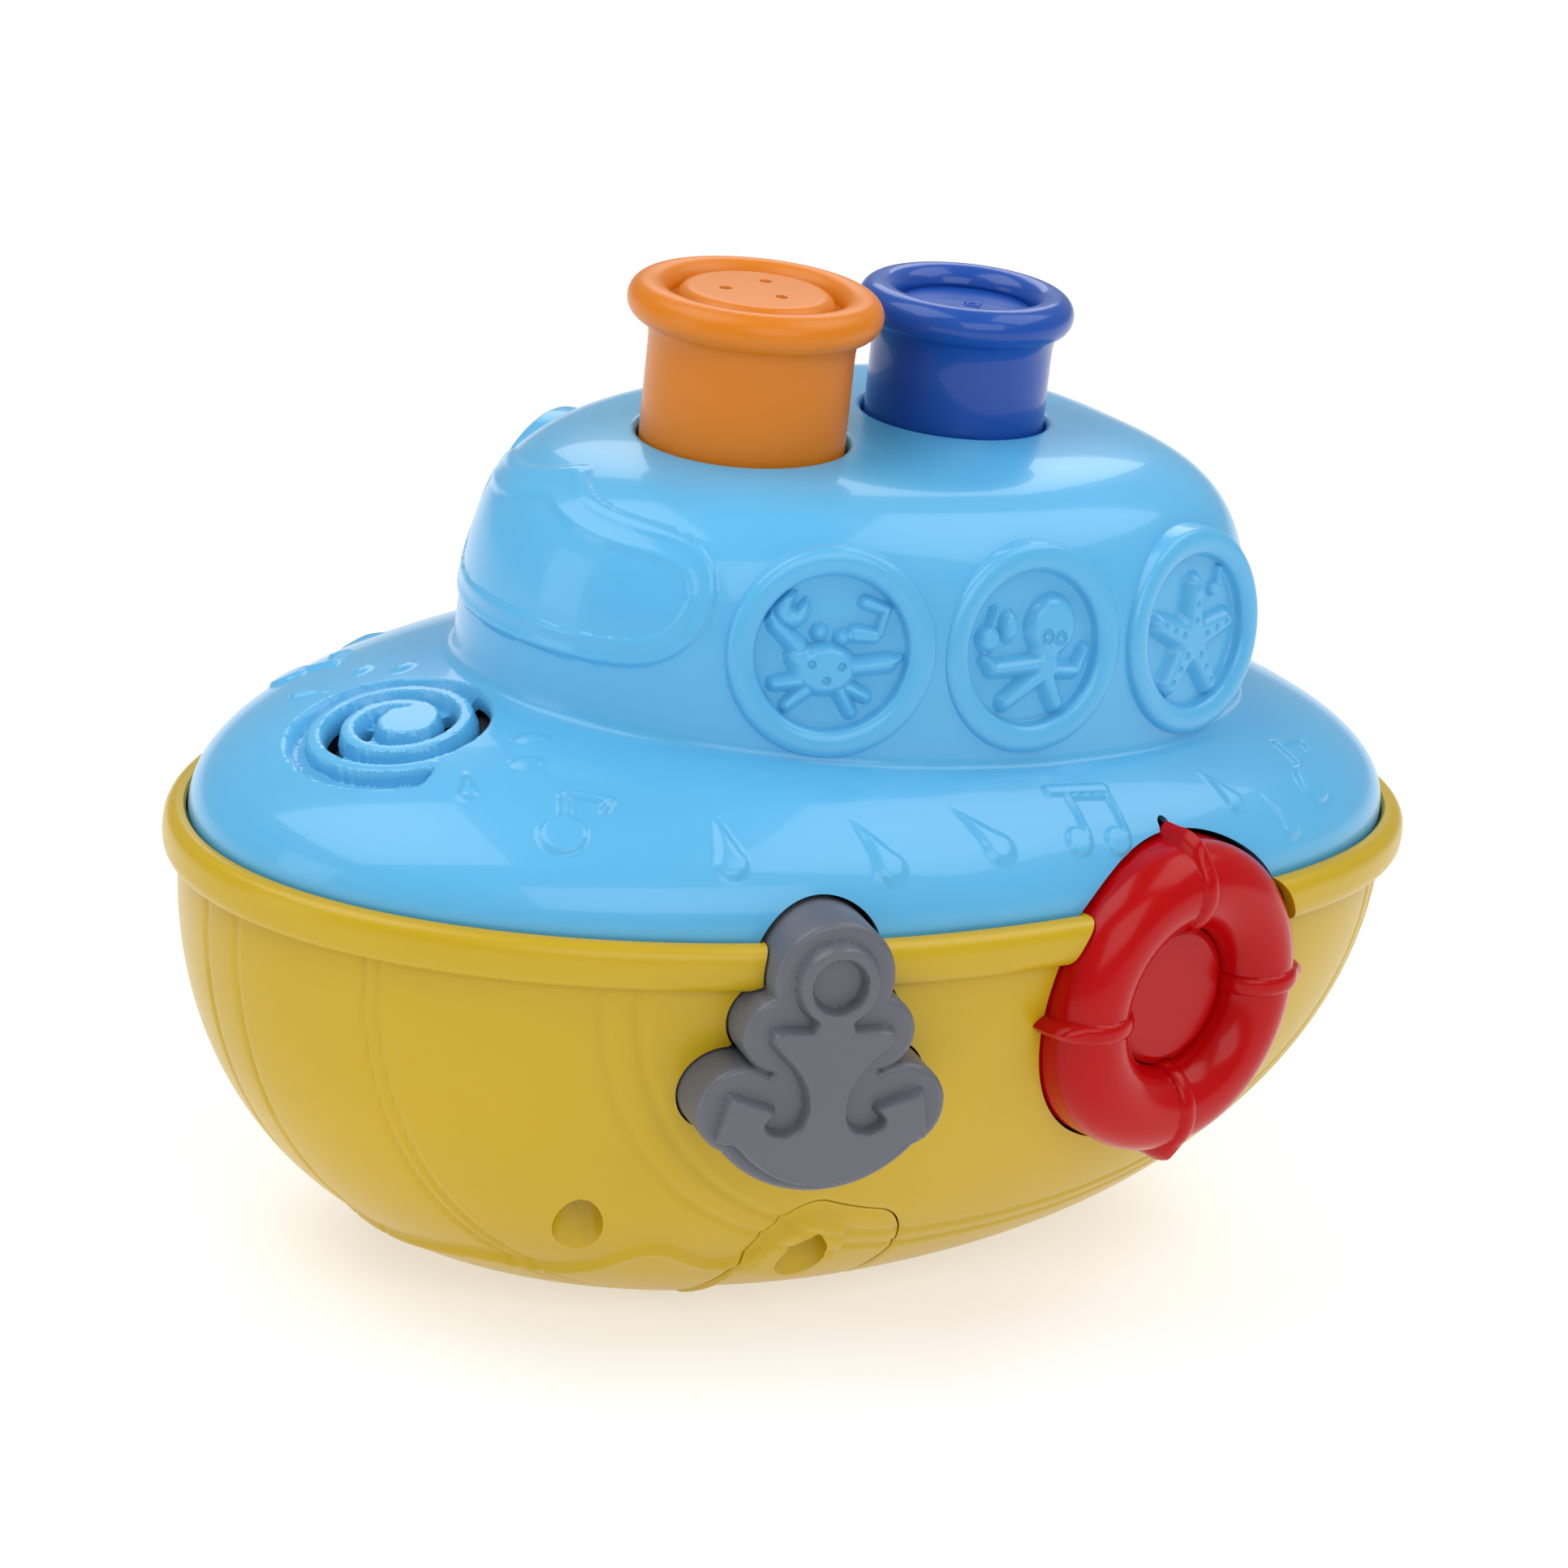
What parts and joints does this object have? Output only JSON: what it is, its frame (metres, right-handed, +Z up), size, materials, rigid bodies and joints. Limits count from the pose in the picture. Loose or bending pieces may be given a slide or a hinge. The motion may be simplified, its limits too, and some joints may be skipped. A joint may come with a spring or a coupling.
{
  "type": "toy boat",
  "caption": "Rounded toy tugboat with a domed deck and cabin, press-down funnels, push buttons in its side, portholes and a speaker grille.",
  "frame": {"origin": "on the flat bottom the boat stands on, on the centreline, under the middle of the rim", "axes": "+X towards the bow, +Y to port, +Z up"},
  "size_m": [0.23, 0.1599, 0.1689],
  "materials": {
    "yellow_plastic": "satin",
    "light_blue_plastic": "gloss",
    "orange_plastic": "satin",
    "dark_blue_plastic": "gloss",
    "grey_plastic": "satin",
    "red_plastic": "semi-gloss",
    "black_plastic": "matte",
    "white_plastic": "matte",
    "circuit_board": "satin",
    "cell_can": "satin",
    "spring_steel": "polished",
    "screw_steel": "satin",
    "magnet": "satin",
    "cone_paper": "matte",
    "wire_cover": "satin"
  },
  "bodies": {
    "boat": {"hull": "yellow_plastic", "deck": "light_blue_plastic", "battery_door": "yellow_plastic", "door_screws": "screw_steel", "housing_screws": "screw_steel", "battery_tray": "black_plastic", "tray_screws": "screw_steel", "battery_1": "cell_can", "battery_2": "cell_can", "positive_contacts": "spring_steel", "negative_contacts": "spring_steel", "main_board": "circuit_board", "board_screws": "screw_steel", "sound_chip": "black_plastic", "funnel_frame": "white_plastic", "frame_screws": "screw_steel", "funnel_board": "circuit_board", "orange_switch": "black_plastic", "blue_switch": "black_plastic", "anchor_guide": "white_plastic", "life_ring_guide": "white_plastic", "guide_screws": "screw_steel", "anchor_switch_board": "circuit_board", "anchor_switch": "black_plastic", "life_ring_switch_board": "circuit_board", "life_ring_switch": "black_plastic", "speaker_frame": "black_plastic", "speaker_magnet": "magnet", "speaker_cone": "cone_paper", "speaker_ring": "black_plastic", "speaker_leads": "wire_cover", "funnel_leads": "wire_cover", "battery_leads": "wire_cover", "orange_spring": "spring_steel", "blue_spring": "spring_steel"},
    "orange_funnel": {"orange_funnel": "orange_plastic"},
    "blue_funnel": {"blue_funnel": "dark_blue_plastic"},
    "anchor": {"anchor_button": "grey_plastic", "anchor_spring": "spring_steel"},
    "life_ring": {"life_ring_button": "red_plastic", "life_ring_spring": "spring_steel"}
  },
  "joints": [
    {"name": "orange_funnel_press", "type": "slide", "parent": "boat", "child": "orange_funnel", "axis": [0, 0, -1], "range_m": [0, 0.005], "stiffness_N_per_m": 300, "springref_m": -0.003, "deforming": ["orange_spring"]},
    {"name": "blue_funnel_press", "type": "slide", "parent": "boat", "child": "blue_funnel", "axis": [0, 0, -1], "range_m": [0, 0.005], "stiffness_N_per_m": 300, "springref_m": -0.003, "deforming": ["blue_spring"]},
    {"name": "anchor_press", "type": "slide", "parent": "boat", "child": "anchor", "axis": [-0.2924, -0.9563, 0], "range_m": [0, 0.003], "stiffness_N_per_m": 400, "springref_m": -0.002},
    {"name": "life_ring_press", "type": "slide", "parent": "boat", "child": "life_ring", "axis": [0.1219, -0.9925, 0], "range_m": [0, 0.003], "stiffness_N_per_m": 400, "springref_m": -0.002}
  ]
}
